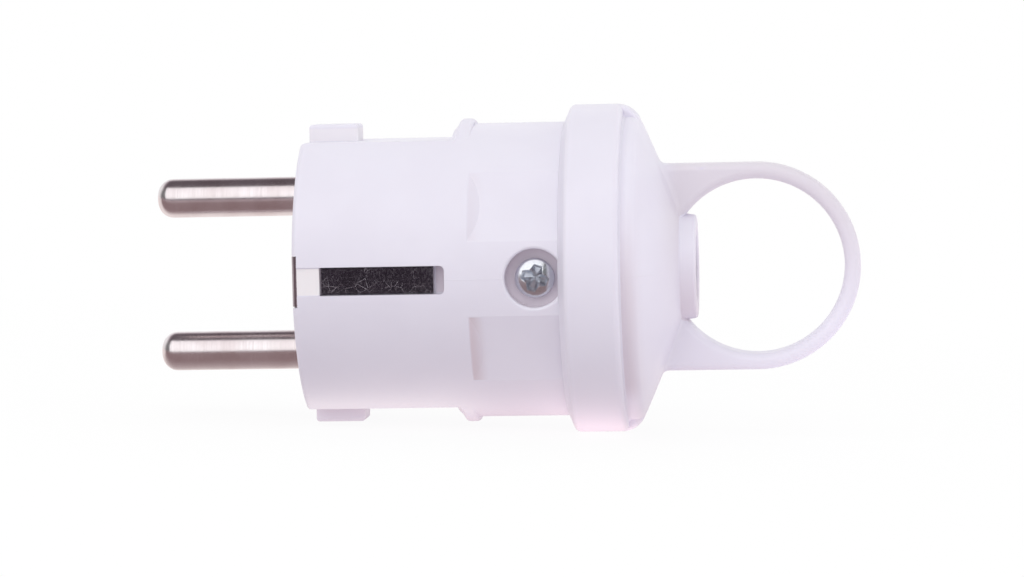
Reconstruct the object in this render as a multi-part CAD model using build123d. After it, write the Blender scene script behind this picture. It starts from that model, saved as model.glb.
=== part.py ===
from build123d import *
from math import cos, hypot, radians, sin, sqrt, tan
import os

# Rewireable earthed two-pin plug with a moulded pull ring, in millimetres.
# X runs along the plug, from the pins (-X) to the pull ring (+X), and Z runs from pin to pin.
# Y runs from one earth contact to the other. The origin is the middle of the engagement face.

# Clearances between pieces
slip = 0.1
cover_slip = 0.15

# Contact pins
pin_diameter = 4.8
pin_spacing = 19.0
pin_length = 19.0
pin_tip_round = 1.9
pin_root_diameter = 5.6

# Nose and skirt of the front body
body_radius = 18.05
skirt_wall = 3.4
front_wall = 3.0
flat_depth = 1.85
nose_length = 18.3
nose_rim_round = 0.6
body_length = 31.75
step_chamfer = 0.6

# Guide keys on the flats, and the stop ribs where the flats end
key_start = 0.4
key_length = 6.0
key_width = 5.0
key_height = 2.1
key_round = 0.4
rib_length = 1.8
rib_radius = 14.0
rib_height = 0.6
rib_round = 0.5

# Grip recesses in the skirt, two on each side
grip_offset = 2.6
grip_angle = 29.0
grip_span = 29.6
grip_run = 1.5

# Earth contact: a bow across the face with a tongue in each side slot
strap_thickness = 0.8
strap_width = 6.0
strap_stand_out = 0.2
tongue_width = 3.2
tongue_end = 16.85
tongue_depth = 1.15
strap_bend = 1.0
slot_end = 18.25
slot_end_round = 0.6
slot_back_wall = 2.0
slot_back_margin = 1.8
web_start = 0.6
web_end = 3.3
web_recess = 0.25

# Cover screws, driven through the skirt into the cover's spigot
cover_screw_inset = 2.85
counterbore_diameter = 7.0
counterbore_depth = 2.3
counterbore_rim_round = 0.3
cover_screw_head = 4.7
cover_screw_head_height = 1.5
cover_screw_shank = 2.8
cover_screw_length = 5.5
cover_boss_diameter = 6.4
cover_boss_depth = 2.8

# Flange of the rear cover
flange_overhang = 2.05
flange_length = 7.25
flange_slope = 0.9
flange_edge_round = 0.7

# Dome of the rear cover: a round foot set in from the flange, a slightly bulging cone and the cord collar.
# In the plane of the pins a web at each end fills the step between the flange and the foot.
foot_inset = 1.4
foot_height = 1.7
foot_round = 1.4
ledge_round = 0.4
web_fall = 1.0
web_bulge = 0.45
web_round = 0.4
dome_height = 5.0
dome_bulge = 0.12
dome_wall = 2.2
collar_length = 1.9
collar_wall = 2.0
collar_taper = 0.3
collar_round = 0.4
cord_bore = 9.2
mouth_round = 0.5

# Hollow of the cover, and the spigot that slides into the skirt
spigot_wall = 2.1
spigot_length = 9.45
flange_wall = 2.0

# Pull ring, in the plane of the pins
ring_offset = 7.3
ring_inner_radius = 10.7
ring_width = 1.95
ring_thickness = 5.0
ring_round = 0.9
arm_root_round = 1.0

# Terminals behind the front wall
block_side = 8.0
block_length = 5.0
block_pocket = 1.0
head_diameter = 6.5
head_length = 3.5
terminal_screw_shank = 2.9
terminal_screw_length = 5.3
terminal_screw_head = 5.4
terminal_screw_head_height = 1.7
washer_side = 6.8
washer_thickness = 0.8

# Countersunk earth screw
earth_screw_head = 5.6
earth_screw_length = 5.0
countersink_angle = 45.0

# Contact holder with its cord saddle
holder_thickness = 2.5
holder_gap = 1.0
post_spacing = 19.6
post_diameter = 5.4
saddle_offset = 4.9
saddle_thickness = 2.3
saddle_gap = 1.25
saddle_margin = 4.5
holder_screw_shank = 2.4
holder_screw_head = 4.4
holder_screw_head_height = 1.5
holder_screw_length = 7.8

# Cord clamp on the saddle's pillars
clamp_offset = 4.25
pillar_diameter = 4.4
pillar_height = 6.9
clamp_length = 5.2
clamp_thickness = 2.4
clamp_rib = 0.8
clamp_screw_shank = 2.4
clamp_screw_length = 8.0

# Recesses in the screw heads
recess_width = 1.0
recess_length = 3.4
recess_depth = 1.0

# Places that follow from the sizes above
pin_places = (-pin_spacing / 2, pin_spacing / 2)
terminal_places = (-pin_spacing / 2, 0, pin_spacing / 2)
flat_height = body_radius - flat_depth
grip_start = nose_length + grip_offset
grip_floor = body_radius * cos(radians(grip_span / 2))
grip_depth = body_radius - grip_floor
cavity_radius = body_radius - skirt_wall
slot_width = tongue_width + 2 * slip
tongue_face = body_radius - tongue_depth
slot_floor = tongue_face - strap_thickness - slip / 2
block_front = front_wall - block_pocket
block_back = block_front + block_length
head_back = block_back + head_length
washer_back = head_back + washer_thickness
holder_back = block_back + holder_thickness
cover_screw_place = body_length - cover_screw_inset
screw_seat = body_radius - counterbore_depth
flange_radius = body_radius + flange_overhang
ledge_place = body_length + flange_length
foot_radius = flange_radius - foot_inset
foot_end = ledge_place + foot_height
chamber_radius = foot_radius - dome_wall
collar_start = foot_end + dome_height
collar_end = collar_start + collar_length
collar_radius = cord_bore / 2 + collar_wall
ring_place = collar_end + ring_offset
spigot_radius = cavity_radius - cover_slip
spigot_bore = spigot_radius - spigot_wall
saddle_back = saddle_offset + saddle_thickness
saddle_width = 2 * sqrt((spigot_bore - saddle_gap) ** 2 - saddle_back**2)
clamp_place = body_length + clamp_offset
saddle_end = clamp_place + saddle_margin
pillar_spacing = saddle_width - pillar_diameter
pillar_top = saddle_offset - pillar_height
clamp_top = pillar_top - clamp_thickness
ring_outer_radius = ring_inner_radius + ring_width
cone_fall = foot_radius - collar_radius
cone_slant = hypot(dome_height, cone_fall)
cut_reach = 2 * flange_radius


def across(place):
    """Section plane across the plug, with Y to its right and Z up."""
    return Plane(origin=(place, 0, 0), x_dir=(0, 1, 0), z_dir=(1, 0, 0))


def rod(diameter, start, end, y=0.0, z=0.0):
    """Round bar along X."""
    return extrude(across(start) * Pos(y, z) * Circle(diameter / 2), amount=end - start)


def cross_rod(diameter, x, z, start, end):
    """Round bar along Y."""
    plane = Plane(origin=(x, start, z), x_dir=(1, 0, 0), z_dir=(0, 1, 0))
    return extrude(plane * Circle(diameter / 2), amount=end - start)


def slab(x_range, y_range, z_range):
    """Box between two corners."""
    ranges = (x_range, y_range, z_range)
    middle = [(low + high) / 2 for low, high in ranges]
    return Pos(*middle) * Box(*[high - low for low, high in ranges])


def corner_rounded(profile, corner, radius):
    """Profile with the corner nearest to a point rounded."""
    return fillet(profile.vertices().sort_by_distance(Vector(*corner))[0], radius)


def turned(profile):
    """Solid of revolution about the plug's axis, from a profile of (x, radius)."""
    return revolve(profile, axis=Axis.X)


def both_sides(piece):
    """A piece and its mirror image on the other earth contact's side."""
    return piece + mirror(piece, about=Plane.XZ)


def pan_screw(head, head_height, shank, length):
    """Screw with a domed head and a cross recess, seated at the origin with its head towards +Z."""
    body = Pos(0, 0, head_height / 2) * Cylinder(head / 2, head_height)
    body = fillet(body.edges().sort_by(Axis.Z)[-1], head_height / 2)
    arm = Box(recess_length, recess_width, 2 * recess_depth)
    body -= Pos(0, 0, head_height) * (arm + Rot(0, 0, 90) * arm)
    return body + Pos(0, 0, -length / 2) * Cylinder(shank / 2, length)


def placed(piece, place, towards):
    """A piece made along +Z, set at a place and turned towards a direction."""
    return Plane(origin=place, z_dir=towards) * piece


def nose_outline(radius, flat):
    """Round with two flats, as the nose is seen from the front."""
    return Circle(radius) & Rectangle(2 * radius, 2 * flat)


def grip_recess():
    """Flat finger recess on the -Y side, above the middle, with a sloping end towards the nose."""
    angle = radians(grip_angle)
    slope_start, slope_end = grip_start - grip_run, grip_start + grip_run
    plane = Plane(origin=(slope_start, 0, 0), x_dir=(1, 0, 0), z_dir=(0, -cos(angle), sin(angle)))
    length = body_length - slope_start
    cut = plane * Pos(length / 2, 0, grip_floor + body_radius / 2) * Box(length, body_radius, body_radius)
    slope = Polyline(
        (slope_start, 0),
        (slope_start, body_radius + grip_depth),
        (slope_end, grip_floor),
        (slope_end, 0),
        close=True,
    )
    return cut - turned(make_face(slope))


def earth_slot():
    """Cuts for the earth tongue on the -Y side: the open slot, the way under the web and the web's recess."""
    half = slot_width / 2
    slot = slab((web_end, slot_end), (-cut_reach, -slot_floor), (-half, half))
    slot = fillet(slot.faces().sort_by(Axis.X)[-1].edges().filter_by(Axis.Y), slot_end_round)
    slot += slab((0, web_end), (-(tongue_face + slip), -slot_floor), (-half, half))
    slot += slab((0, web_start), (-cut_reach, -slot_floor), (-half, half))
    return slot + slab((0, web_end), (-cut_reach, -(body_radius - web_recess)), (-half, half))


def front_body():
    """Moulded nose and skirt, closed in front and open behind."""
    nose = extrude(across(0) * nose_outline(body_radius, flat_height), amount=nose_length)
    nose = fillet(nose.faces().sort_by(Axis.X)[0].edges(), nose_rim_round)
    skirt = rod(2 * body_radius, nose_length, body_length)
    skirt = chamfer(skirt.faces().sort_by(Axis.X)[0].edges(), step_chamfer)
    body = nose + skirt
    body += extrude(across(nose_length) * nose_outline(body_radius, flat_height), amount=step_chamfer)

    key_sides = (-key_width / 2, key_width / 2)
    key_ends = (key_start, key_start + key_length)
    key = slab(key_ends, key_sides, (flat_height - key_height, flat_height + key_height))
    key = fillet(key.faces().sort_by(Axis.Z)[-1].edges(), key_round)
    rib_start = nose_length + step_chamfer
    rib = rod(2 * rib_radius, rib_start, rib_start + rib_length, z=body_radius + rib_height - rib_radius)
    rib = fillet(rib.edges().filter_by(GeomType.CIRCLE), rib_round)
    for piece in (key, rib):
        body += piece + mirror(piece, about=Plane.XY)

    hollow = rod(2 * cavity_radius, front_wall, body_length)
    back_reach = slot_width / 2 + slot_back_margin
    back_face = slot_floor - slot_back_wall
    back_end = slot_end + slot_back_wall
    back = slab((front_wall, back_end), (-body_radius, -back_face), (-back_reach, back_reach))
    hollow -= both_sides(back)
    for side in (-1, 1):
        hollow -= rod(post_diameter, front_wall, block_back, y=side * post_spacing / 2)
    body -= hollow

    body -= both_sides(earth_slot())
    groove_half = strap_width / 2 + slip
    groove_depth = strap_thickness - strap_stand_out
    body -= slab((0, groove_depth), (-cut_reach, cut_reach), (-groove_half, groove_half))
    recess = grip_recess()
    body -= both_sides(recess + mirror(recess, about=Plane.XY))
    bore = cross_rod(counterbore_diameter, cover_screw_place, 0, -cut_reach, -screw_seat)
    bore += cross_rod(cover_screw_shank + 4 * slip, cover_screw_place, 0, -cut_reach, -cavity_radius + slip)
    body -= both_sides(bore)
    body = fillet(counterbore_rims(body), counterbore_rim_round)

    pocket_half = block_side / 2 + slip
    for place in terminal_places:
        body -= slab(
            (block_front, washer_back),
            (-pocket_half, pocket_half),
            (place - pocket_half, place + pocket_half),
        )
    for place in pin_places:
        body -= rod(pin_root_diameter + 2 * slip, 0, front_wall, z=place)
    for side in (-1, 1):
        pilot_end = holder_back - holder_screw_length - slip
        body -= rod(holder_screw_shank + slip, pilot_end, block_back, y=side * post_spacing / 2)
    return body - earth_screw_hole()


def counterbore_rims(body):
    """Edges where the counterbores of the cover screws break through the skirt's outside."""
    rim_start = cover_screw_place - counterbore_diameter / 2
    rims = []
    for edge in body.edges():
        box = edge.bounding_box()
        if abs(box.min.X - rim_start) < slip and abs(box.center().Y) > screw_seat + slip:
            rims.append(edge)
    return rims


def earth_screw_hole():
    """Countersunk hole for the earth screw, through the bow and the front wall."""
    return countersunk(earth_screw_head + 2 * slip, terminal_screw_shank + 2 * slip, block_back)


def countersunk(head, shank, end):
    """Countersunk bar along X with its flat head level with the front of the bow."""
    head_depth = (head - shank) / 2 / tan(radians(countersink_angle))
    front = -strap_stand_out
    outline = Polyline(
        (front, 0), (front, head / 2), (front + head_depth, shank / 2), (end, shank / 2), (end, 0), close=True
    )
    return turned(make_face(outline))


def earth_screw():
    """Countersunk cross-recess screw in the middle of the engagement face."""
    screw = countersunk(earth_screw_head, terminal_screw_shank, earth_screw_length)
    arm = Box(recess_length, recess_width, 2 * recess_depth)
    cross = arm + Rot(0, 0, 90) * arm
    return screw - placed(cross, (-strap_stand_out, 0, 0), (-1, 0, 0))


def earth_strap():
    """Bow of strip metal: a wide bar across the face, bent back at each rim into a narrower tongue."""
    front = -strap_stand_out
    inner_face = tongue_face - strap_thickness
    outline = Polyline(
        (front, 0),
        (front, -tongue_face),
        (tongue_end, -tongue_face),
        (tongue_end, -inner_face),
        (front + strap_thickness, -inner_face),
        (front + strap_thickness, 0),
        close=True,
    )
    profile = corner_rounded(make_face(outline), (front, -tongue_face), strap_bend)
    half = extrude(profile, amount=strap_width / 2, both=True)
    wide = (-strap_width / 2, strap_width / 2)
    narrow = (-tongue_width / 2, tongue_width / 2)
    bar = slab((front, front + strap_thickness), (-tongue_face, 0), wide)
    tongue = slab((front + strap_thickness, tongue_end), (-tongue_face, -inner_face), narrow)
    return both_sides(half & (bar + tongue)) - earth_screw_hole()


def terminal(place, bore_end):
    """Square terminal block with a round tapped head, at a place between the pins."""
    half = block_side / 2
    body = slab((block_front, block_back), (-half, half), (place - half, place + half))
    body += rod(head_diameter, block_back, head_back, z=place)
    return body - rod(terminal_screw_shank + slip, bore_end, head_back, z=place)


def contact_pin(place):
    """Turned pin with a rounded tip, a thicker root in the front wall and its terminal block."""
    pin = rod(pin_diameter, -pin_length, 0, z=place)
    pin = fillet(pin.edges().sort_by(Axis.X)[0], pin_tip_round)
    pin += rod(pin_root_diameter, 0, block_front, z=place)
    return pin + terminal(place, washer_back - terminal_screw_length - slip)


def terminal_screws():
    """Wire screws of the three terminals."""
    screw = pan_screw(
        terminal_screw_head, terminal_screw_head_height, terminal_screw_shank, terminal_screw_length
    )
    return [placed(screw, (washer_back, 0, place), (1, 0, 0)) for place in terminal_places]


def clamp_washers():
    """Square wire washers under the terminal screws."""
    half = washer_side / 2
    washers = []
    for place in terminal_places:
        washer = slab((head_back, washer_back), (-half, half), (place - half, place + half))
        washers.append(washer - rod(terminal_screw_shank + 2 * slip, head_back, washer_back, z=place))
    return washers


def contact_holder():
    """Plate that keeps the terminal blocks in their pockets, with the cord saddle on its back."""
    plate = rod(2 * (cavity_radius - holder_gap), block_back, holder_back)
    saddle_sides = (-saddle_width / 2, saddle_width / 2)
    saddle = slab((holder_back, saddle_end), (saddle_offset, saddle_back), saddle_sides)
    body = plate + saddle
    for place in terminal_places:
        body -= rod(head_diameter + 2 * slip, block_back, holder_back, z=place)
    for side in (-1, 1):
        body -= rod(holder_screw_shank + 2 * slip, block_back, holder_back, y=side * post_spacing / 2)
        z = side * pillar_spacing / 2
        body += cross_rod(pillar_diameter, clamp_place, z, pillar_top, saddle_offset)
        pilot_end = clamp_top + clamp_screw_length + slip
        body -= cross_rod(clamp_screw_shank + slip, clamp_place, z, pillar_top, pilot_end)
    return body


def holder_screws():
    """Screws of the contact holder, driven into the posts of the front body."""
    screw = pan_screw(holder_screw_head, holder_screw_head_height, holder_screw_shank, holder_screw_length)
    return [placed(screw, (holder_back, side * post_spacing / 2, 0), (1, 0, 0)) for side in (-1, 1)]


def cord_clamp():
    """Bar across the two pillars, with a gripping rib on its underside."""
    start, end = clamp_place - clamp_length / 2, clamp_place + clamp_length / 2
    bar = slab((start, end), (clamp_top, pillar_top), (-saddle_width / 2, saddle_width / 2))
    rib_half = (pillar_spacing - pillar_diameter) / 2 - slip
    rib = (clamp_place - clamp_rib, clamp_place + clamp_rib)
    bar += slab(rib, (pillar_top, pillar_top + clamp_rib), (-rib_half, rib_half))
    for side in (-1, 1):
        z = side * pillar_spacing / 2
        bar -= cross_rod(clamp_screw_shank + 2 * slip, clamp_place, z, clamp_top, pillar_top)
    return bar


def clamp_screws():
    """Screws of the cord clamp, driven into the pillars."""
    screw = pan_screw(holder_screw_head, holder_screw_head_height, clamp_screw_shank, clamp_screw_length)
    places = [(clamp_place, clamp_top, side * pillar_spacing / 2) for side in (-1, 1)]
    return [placed(screw, place, (0, -1, 0)) for place in places]


def cover_screws():
    """Screws that hold the cover in the skirt, one on each side."""
    screw = pan_screw(cover_screw_head, cover_screw_head_height, cover_screw_shank, cover_screw_length)
    return [placed(screw, (cover_screw_place, side * screw_seat, 0), (0, side, 0)) for side in (-1, 1)]


def cover_outside():
    """Outer form of the flange, the dome and the collar, turned about the plug's axis."""
    slope_end = (body_length + flange_slope, flange_radius)
    flange_back = (ledge_place, flange_radius)
    ledge_corner = (ledge_place, foot_radius)
    foot_corner = (foot_end, foot_radius)
    collar_foot = (collar_start, collar_radius)
    bulge_x = (foot_end + collar_start) / 2 + dome_bulge * cone_fall / cone_slant
    bulge_radius = (foot_radius + collar_radius) / 2 + dome_bulge * dome_height / cone_slant
    flange_front = (body_length, body_radius)
    outline = Polyline(
        (collar_end, 0), (body_length, 0), flange_front, slope_end, flange_back, ledge_corner, foot_corner
    )
    outline += ThreePointArc(foot_corner, (bulge_x, bulge_radius), collar_foot)
    collar_rim = (collar_end, collar_radius - collar_taper)
    outline += Polyline(collar_foot, collar_rim, (collar_end, 0))
    profile = make_face(outline)
    for corner in (slope_end, flange_back):
        profile = corner_rounded(profile, corner, flange_edge_round)
    profile = corner_rounded(profile, ledge_corner, ledge_round)
    profile = corner_rounded(profile, foot_corner, foot_round)
    profile = corner_rounded(profile, collar_rim, collar_round)
    return turned(profile)


def step_webs():
    """Webs above and below that carry the flange's outline over the step to the dome."""
    start, end = ledge_place - flange_edge_round, foot_end + flange_edge_round / 2
    rim = (start, flange_radius)
    toe = (end, foot_radius - web_fall)
    middle = ((start + end) / 2 + web_bulge, (rim[1] + toe[1]) / 2 + web_bulge)
    outline = Polyline((end, 0), (start, 0), rim) + ThreePointArc(rim, middle, toe) + Line(toe, (end, 0))
    half = ring_thickness / 2
    webs = turned(make_face(outline)) & slab((start, end), (-half, half), (-flange_radius, flange_radius))
    curved = [edge for edge in webs.faces().filter_by(Axis.Y).edges() if edge.geom_type != GeomType.LINE]
    return fillet(curved, web_round)


def cover_hollow():
    """Inside of the cover: the spigot's bore, the chamber, the dome and the cord bore."""
    inner_shift = dome_wall * cone_slant / cone_fall

    def inner_place(radius):
        return foot_end + (foot_radius - radius) * dome_height / cone_fall - inner_shift

    chamber_start = body_length + flange_wall
    mouth_start = (collar_end - mouth_round, cord_bore / 2)
    mouth_end = (collar_end, cord_bore / 2 + mouth_round)
    mouth_turn = mouth_round * (1 - sqrt(0.5))
    outline = Polyline(
        (collar_end, 0),
        (body_length - spigot_length, 0),
        (body_length - spigot_length, spigot_bore),
        (chamber_start, spigot_bore),
        (chamber_start, chamber_radius),
        (inner_place(chamber_radius), chamber_radius),
        (inner_place(cord_bore / 2), cord_bore / 2),
        mouth_start,
    )
    outline += ThreePointArc(mouth_start, (collar_end - mouth_turn, cord_bore / 2 + mouth_turn), mouth_end)
    outline += Line(mouth_end, (collar_end, 0))
    return turned(make_face(outline))


def pull_ring():
    """Finger ring in the plane of the pins, with straight arms that run into the dome."""
    arm_length = ring_place - foot_end
    outline = Pos(ring_place, 0) * Circle(ring_outer_radius)
    outline += Pos(ring_place - arm_length / 2, 0) * Rectangle(arm_length, 2 * ring_outer_radius)
    outline -= Pos(ring_place, 0) * Circle(ring_inner_radius)
    ring = extrude(Plane.XZ * outline, amount=ring_thickness / 2, both=True)
    rims = ring.faces().filter_by(Axis.Y).edges()
    return fillet(rims, ring_round)


def arm_roots(cover):
    """Edges where the ring's arms meet the dome."""
    roots = []
    for edge in cover.edges():
        box = edge.bounding_box()
        along_arm = foot_end < box.min.X and box.max.X < collar_end
        beside_arm = max(-box.min.Y, box.max.Y) > ring_thickness / 2 + slip
        if along_arm and not beside_arm and abs(box.center().Z) > collar_radius:
            roots.append(edge)
    return roots


def rear_cover():
    """Flange, dome, collar, pull ring and spigot: one hollow moulding."""
    cover = cover_outside() + pull_ring()
    cover = fillet(arm_roots(cover), arm_root_round) + step_webs()
    cover += rod(2 * spigot_radius, body_length - spigot_length, body_length)
    cover -= cover_hollow()
    boss_end = spigot_bore - cover_boss_depth
    boss = cross_rod(cover_boss_diameter, cover_screw_place, 0, -(spigot_radius + spigot_bore) / 2, -boss_end)
    bore = cross_rod(cover_screw_shank + slip, cover_screw_place, 0, -spigot_radius, -boss_end)
    return cover + both_sides(boss) - both_sides(bore)


pieces = {
    "front_body": front_body(),
    "rear_cover": rear_cover(),
    "live_pin": contact_pin(pin_places[1]),
    "neutral_pin": contact_pin(pin_places[0]),
    "earth_strap": earth_strap(),
    "earth_screw": earth_screw(),
    "earth_terminal": terminal(0, block_front),
    "terminal_screws": Compound(children=terminal_screws()),
    "clamp_washers": Compound(children=clamp_washers()),
    "contact_holder": contact_holder(),
    "holder_screws": Compound(children=holder_screws()),
    "cord_clamp": cord_clamp(),
    "clamp_screws": Compound(children=clamp_screws()),
    "cover_screws": Compound(children=cover_screws()),
}

os.makedirs("parts", exist_ok=True)
for name, piece in pieces.items():
    export_step(piece, f"parts/{name}.step")
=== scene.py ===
"""Studio picture of a rewireable earthed plug with a moulded pull ring.

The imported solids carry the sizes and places. This file gives each piece its finish, cuts the screws with their
recesses and threads, sets the plug on a pale floor under soft light and places the camera.
"""

import logging
import math
from dataclasses import dataclass
from enum import Enum

import bmesh
import bpy
from mathutils import Matrix, Vector

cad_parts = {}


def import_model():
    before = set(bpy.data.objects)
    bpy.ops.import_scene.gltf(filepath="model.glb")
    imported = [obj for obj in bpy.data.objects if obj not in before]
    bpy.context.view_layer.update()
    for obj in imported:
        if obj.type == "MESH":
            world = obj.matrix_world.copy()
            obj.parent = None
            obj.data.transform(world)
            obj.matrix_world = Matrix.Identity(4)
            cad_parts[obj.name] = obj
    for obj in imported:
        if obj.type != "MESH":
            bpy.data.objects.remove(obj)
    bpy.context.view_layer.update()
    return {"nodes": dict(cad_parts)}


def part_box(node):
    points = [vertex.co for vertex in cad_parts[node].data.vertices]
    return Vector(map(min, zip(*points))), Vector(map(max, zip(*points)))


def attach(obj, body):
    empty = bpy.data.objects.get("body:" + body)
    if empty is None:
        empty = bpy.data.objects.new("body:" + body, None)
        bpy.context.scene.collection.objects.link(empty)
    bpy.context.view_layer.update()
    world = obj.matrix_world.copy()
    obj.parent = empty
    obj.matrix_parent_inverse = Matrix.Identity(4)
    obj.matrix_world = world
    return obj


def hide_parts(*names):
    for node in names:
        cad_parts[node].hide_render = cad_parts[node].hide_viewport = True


LOG = logging.getLogger("plug")
MM = 0.001
IMAGE_WIDTH = 1024
BODY = "root"
Triple = tuple[float, float, float]
Ramp = tuple[str, float, float] | tuple[str, float, float, float, float]
Socket = bpy.types.NodeSocket
Sockets = bpy.types.NodeOutputs
Source = Socket | float | Triple
Mark = tuple[Source, float, Triple]
Fill = dict[str, Source]


class Sheet:
    """A node tree with short calls that add and join its nodes."""

    def __init__(self, tree: bpy.types.NodeTree) -> None:
        """Wraps the tree to fill."""
        self.tree = tree

    def add(self, kind: str, **settings: object) -> bpy.types.Node:
        """Adds a node.

        Args:
            kind: The node's type; a shader node's goes without its prefix.
            **settings: Properties of the node, by name.

        Returns:
            The new node.
        """
        node = self.tree.nodes.new(kind if "Node" in kind else "ShaderNode" + kind)
        for name, value in settings.items():
            setattr(node, name, value)
        return node

    def feed(self, node: bpy.types.Node, socket: str | int, source: Source) -> None:
        """Joins an output to an input, or sets the input to a plain value.

        Args:
            node: The node with the input.
            socket: The input's name or number.
            source: An output, a number, a vector or a colour.
        """
        target = node.inputs[socket]
        if isinstance(source, Socket):
            self.tree.links.new(source, target)
        elif target.type == "RGBA" and len(source) == 3:
            target.default_value = (*source, 1.0)
        else:
            target.default_value = source

    def join(self, kind: str, sources: dict[str | int, Source], **settings: object) -> Socket:
        """Adds a node and feeds its inputs.

        Args:
            kind: The node's type, as for add.
            sources: What each input gets.
            **settings: Properties of the node, by name.

        Returns:
            The node's first output.
        """
        node = self.add(kind, **settings)
        for socket, source in sources.items():
            self.feed(node, socket, source)
        return node.outputs[0]

    def math(self, operation: str, first: Source, second: Source = 0.0, third: Source = 0.0) -> Socket:
        """Result of a Math node on up to three numbers or outputs."""
        return self.join("Math", {0: first, 1: second, 2: third}, operation=operation)

    def ramp(self, value: Source, start: Source, end: Source, low: float = 0.0, high: float = 1.0) -> Socket:
        """Maps a value smoothly, so that it is low at start and high at end."""
        sources = {"Value": value, "From Min": start, "From Max": end, "To Min": low, "To Max": high}
        return self.join("MapRange", sources, interpolation_type="SMOOTHSTEP")

    def ramps(self, axes: Sockets, *rows: Ramp) -> Source:
        """Product of ramps: the axis of each, its start and end in millimetres, and its levels there."""
        slopes = [self.ramp(axes[axis], start * MM, end * MM, *levels) for axis, start, end, *levels in rows]
        return self.product(*slopes)

    def product(self, *masks: Source) -> Source:
        """Multiplies masks with one another.

        Args:
            *masks: The masks.

        Returns:
            The mask of what they share.
        """
        shared = masks[0]
        for mask in masks[1:]:
            shared = self.math("MULTIPLY", shared, mask)
        return shared

    def distance(self, first: Source, second: Source) -> Socket:
        """Distance of a point from the crossing of two axes, by its places along them."""
        squares = [self.math("MULTIPLY", value, value) for value in (first, second)]
        return self.math("POWER", self.math("ADD", *squares), 0.5)

    def axes(self, vector: Source) -> Sockets:
        """Splits coordinates into X, Y and Z."""
        return self.join("SeparateXYZ", {0: vector}).node.outputs

    def noise(self, vector: Source, scale: Source, detail: float = 2.0) -> Socket:
        """Noise about 0.5, with scale as its features in each unit and detail as its finer layers."""
        return self.join("TexNoise", {"Vector": vector, "Scale": scale, "Detail": detail})

    def mix(self, factor: Source, first: Source, second: Source) -> Socket:
        """Mixes two colours: the first at a factor of 0, the second at 1."""
        return self.join("Mix", {0: factor, 6: first, 7: second}, data_type="RGBA").node.outputs[2]

    def layers(self, colour: Source, *marks: Mark) -> Socket:
        """Lays marks over a colour.

        Args:
            colour: The colour below.
            *marks: The mask, the share and the colour of each mark.

        Returns:
            The colour with its marks.
        """
        for mask, share, tone in marks:
            colour = self.mix(self.math("MULTIPLY", mask, share), colour, tone)
        return colour

    def blend(self, factor: Source, first: Source, second: Source) -> Socket:
        """Mixes two numbers: the first at a factor of 0, the second at 1."""
        return self.join("Mix", {0: factor, 2: first, 3: second})


class Effect:
    """A shader node group that several finishes share, built once."""

    name = ""
    inputs: tuple[str, ...] = ()
    vectors = ("Vector", "Stretch")

    def group(self) -> bpy.types.NodeTree:
        """Finds the group, or makes it the first time.

        Returns:
            The group's tree.
        """
        tree = bpy.data.node_groups.get(self.name)
        if tree:
            return tree
        tree = bpy.data.node_groups.new(self.name, "ShaderNodeTree")
        for name in self.inputs:
            kind = "Vector" if name in self.vectors else "Float"
            tree.interface.new_socket(name, in_out="INPUT", socket_type="NodeSocket" + kind)
        sheet = Sheet(tree)
        results = self.fill(sheet, sheet.add("NodeGroupInput").outputs)
        for name in results:
            tree.interface.new_socket(name, in_out="OUTPUT", socket_type="NodeSocketFloat")
        end = sheet.add("NodeGroupOutput")
        for name, source in results.items():
            sheet.feed(end, name, source)
        return tree

    def fill(self, sheet: Sheet, given: Sockets) -> Fill:
        """Builds the group's nodes.

        Args:
            sheet: The group's tree.
            given: The group's inputs.

        Returns:
            What each output gets.
        """
        raise NotImplementedError

    def place(self, sheet: Sheet, **values: Source) -> Sockets:
        """Places the group in a material.

        Args:
            sheet: The material's tree.
            **values: The inputs, by name with spaces as underscores.

        Returns:
            The group's outputs.
        """
        node = sheet.add("Group", node_tree=self.group())
        for name, value in values.items():
            sheet.feed(node, name.replace("_", " "), value)
        return node.outputs


class MouldingSkin(Effect):
    """Cloudy tone, dust specks and fine grain of a moulded surface."""

    name = "moulding_skin"
    inputs = ("Vector", "Cloud Scale", "Speck Scale", "Grain Scale")
    cloud_detail = 3.0
    cloud_range = (0.35, 0.65)
    speck_share = 0.80
    speck_range = (0.085, 0.3 * 0.085)

    def fill(self, sheet: Sheet, given: Sockets) -> Fill:
        """Builds the group's nodes, as Effect.fill says."""
        where = given["Vector"]
        cells = sheet.join("TexVoronoi", {"Vector": where, "Scale": given["Speck Scale"]}).node.outputs
        picked = sheet.math("GREATER_THAN", cells["Color"], self.speck_share)
        cloud = sheet.noise(where, given["Cloud Scale"], self.cloud_detail)
        return {
            "Cloud": sheet.ramp(cloud, *self.cloud_range),
            "Speck": sheet.product(picked, sheet.ramp(cells["Distance"], *self.speck_range)),
            "Grain": sheet.noise(where, given["Grain Scale"]),
        }


class MouldLine(Effect):
    """Fine parting line of a mould, along X in the plane halfway between the pins."""

    name = "mould_line"
    inputs = ("Vector", "Half Width", "Start", "End")
    wander_scale = 400.0
    wander = 0.1 * MM

    def fill(self, sheet: Sheet, given: Sockets) -> Fill:
        """Builds the group's nodes, as Effect.fill says."""
        axes = sheet.axes(given["Vector"])
        stray = sheet.math("SUBTRACT", sheet.noise(given["Vector"], self.wander_scale), 0.5)
        off = sheet.math("ABSOLUTE", sheet.math("MULTIPLY_ADD", stray, self.wander, axes["Z"]))
        line = sheet.ramp(off, given["Half Width"], 0.0)
        after = sheet.math("GREATER_THAN", axes["X"], given["Start"])
        before = sheet.math("LESS_THAN", axes["X"], given["End"])
        return {"Line": sheet.product(line, after, before)}


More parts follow.
